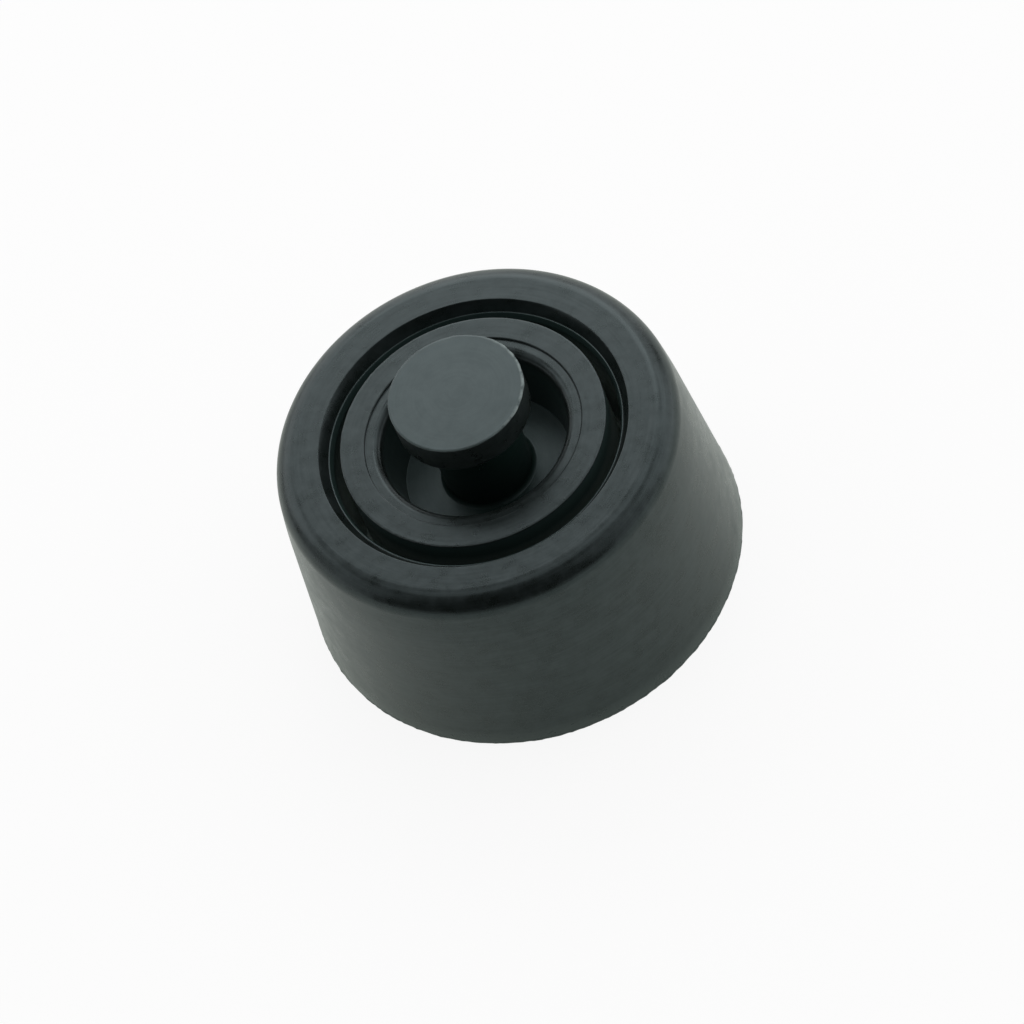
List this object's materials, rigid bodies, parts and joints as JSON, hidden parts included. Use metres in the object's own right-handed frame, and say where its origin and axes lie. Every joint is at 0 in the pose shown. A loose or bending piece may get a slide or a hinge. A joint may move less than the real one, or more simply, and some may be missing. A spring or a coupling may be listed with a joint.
{
  "type": "push-in plastic foot",
  "caption": "Round black moulded foot for a case or housing, drafted side and rounded shoulder, with a mushroom stem in a central well that snaps into a hole in the panel.",
  "frame": {"origin": "centre of the flat standing face", "axes": "+Z along the axis of symmetry, from the standing face towards the stem; X and Y are free, because the foot is round"},
  "size_m": [0.02, 0.02, 0.013],
  "materials": {
    "moulding": "black flexible plastic, moulded, satin with fine tool marks"
  },
  "bodies": {
    "root": {"foot": "moulding"}
  },
  "joints": []
}
